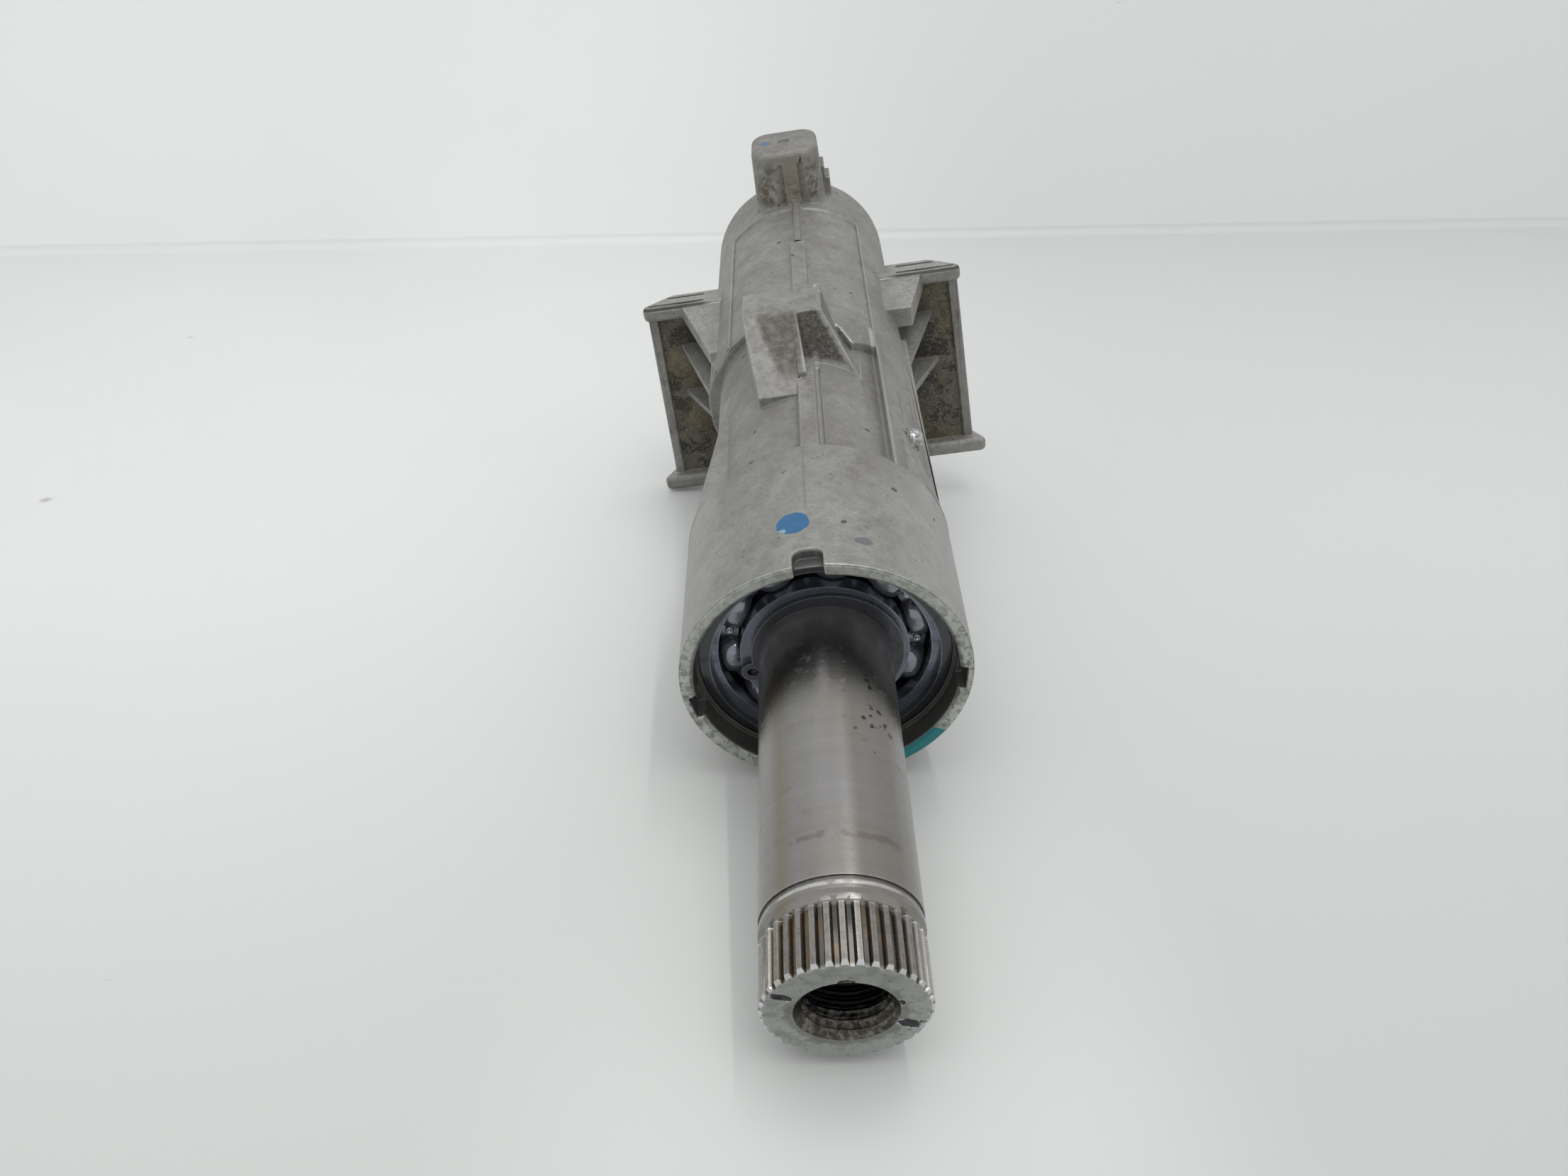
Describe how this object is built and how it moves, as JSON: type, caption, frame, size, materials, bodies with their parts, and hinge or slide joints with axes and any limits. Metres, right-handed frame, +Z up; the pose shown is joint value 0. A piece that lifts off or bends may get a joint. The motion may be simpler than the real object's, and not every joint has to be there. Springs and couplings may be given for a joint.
{
  "type": "upper steering-column jacket with spindle",
  "caption": "Cast jacket with cross ears that carries a splined steering spindle on two ball bearings; the spindle turns freely.",
  "frame": {"origin": "on the column axis at the mouth of the barrel", "axes": "+Y along the column away from the steering wheel, +X to the right seen from the wheel, +Z up"},
  "size_m": [0.0962, 0.2694, 0.0856],
  "materials": {
    "cast_aluminium": "as cast, handled and stained",
    "spindle_steel": "ground, light oil film",
    "phosphated_spring_steel": "phosphated and oiled",
    "pressed_steel": "pressed, greasy",
    "bearing_steel": "ground and greasy"
  },
  "bodies": {
    "jacket": {"jacket_casting": "cast_aluminium", "upper_bearing_outer_ring": "bearing_steel", "lower_bearing_outer_ring": "bearing_steel", "bore_front_circlip": "phosphated_spring_steel", "bore_rear_circlip": "phosphated_spring_steel", "lower_shield_front": "pressed_steel", "lower_shield_rear": "pressed_steel", "preload_disc_spring": "phosphated_spring_steel", "preload_thrust_washer": "phosphated_spring_steel"},
    "spindle": {"steering_spindle": "spindle_steel", "upper_bearing_inner_ring": "bearing_steel", "lower_bearing_inner_ring": "bearing_steel", "spindle_front_circlip": "phosphated_spring_steel", "spindle_rear_circlip": "phosphated_spring_steel"},
    "upper_ball_train": {"upper_bearing_balls": "bearing_steel", "upper_cage_front": "pressed_steel", "upper_cage_rear": "pressed_steel", "upper_cage_rivets": "pressed_steel"},
    "lower_ball_train": {"lower_bearing_balls": "bearing_steel", "lower_cage_front": "pressed_steel", "lower_cage_rear": "pressed_steel", "lower_cage_rivets": "pressed_steel"}
  },
  "joints": [
    {"name": "spindle_turn", "type": "hinge", "parent": "jacket", "child": "spindle", "pos_m": [0, 0, 0], "axis": [0, 1, 0], "continuous": true},
    {"name": "upper_ball_train_turn", "type": "hinge", "parent": "jacket", "child": "upper_ball_train", "pos_m": [0, 0.0135, 0], "axis": [0, 1, 0], "continuous": true},
    {"name": "lower_ball_train_turn", "type": "hinge", "parent": "jacket", "child": "lower_ball_train", "pos_m": [0, 0.1715, 0], "axis": [0, 1, 0], "continuous": true}
  ],
  "couplings": [
    {"joint": "upper_ball_train_turn", "follows": "spindle_turn", "ratio": 0.4028},
    {"joint": "lower_ball_train_turn", "follows": "spindle_turn", "ratio": 0.3976}
  ]
}
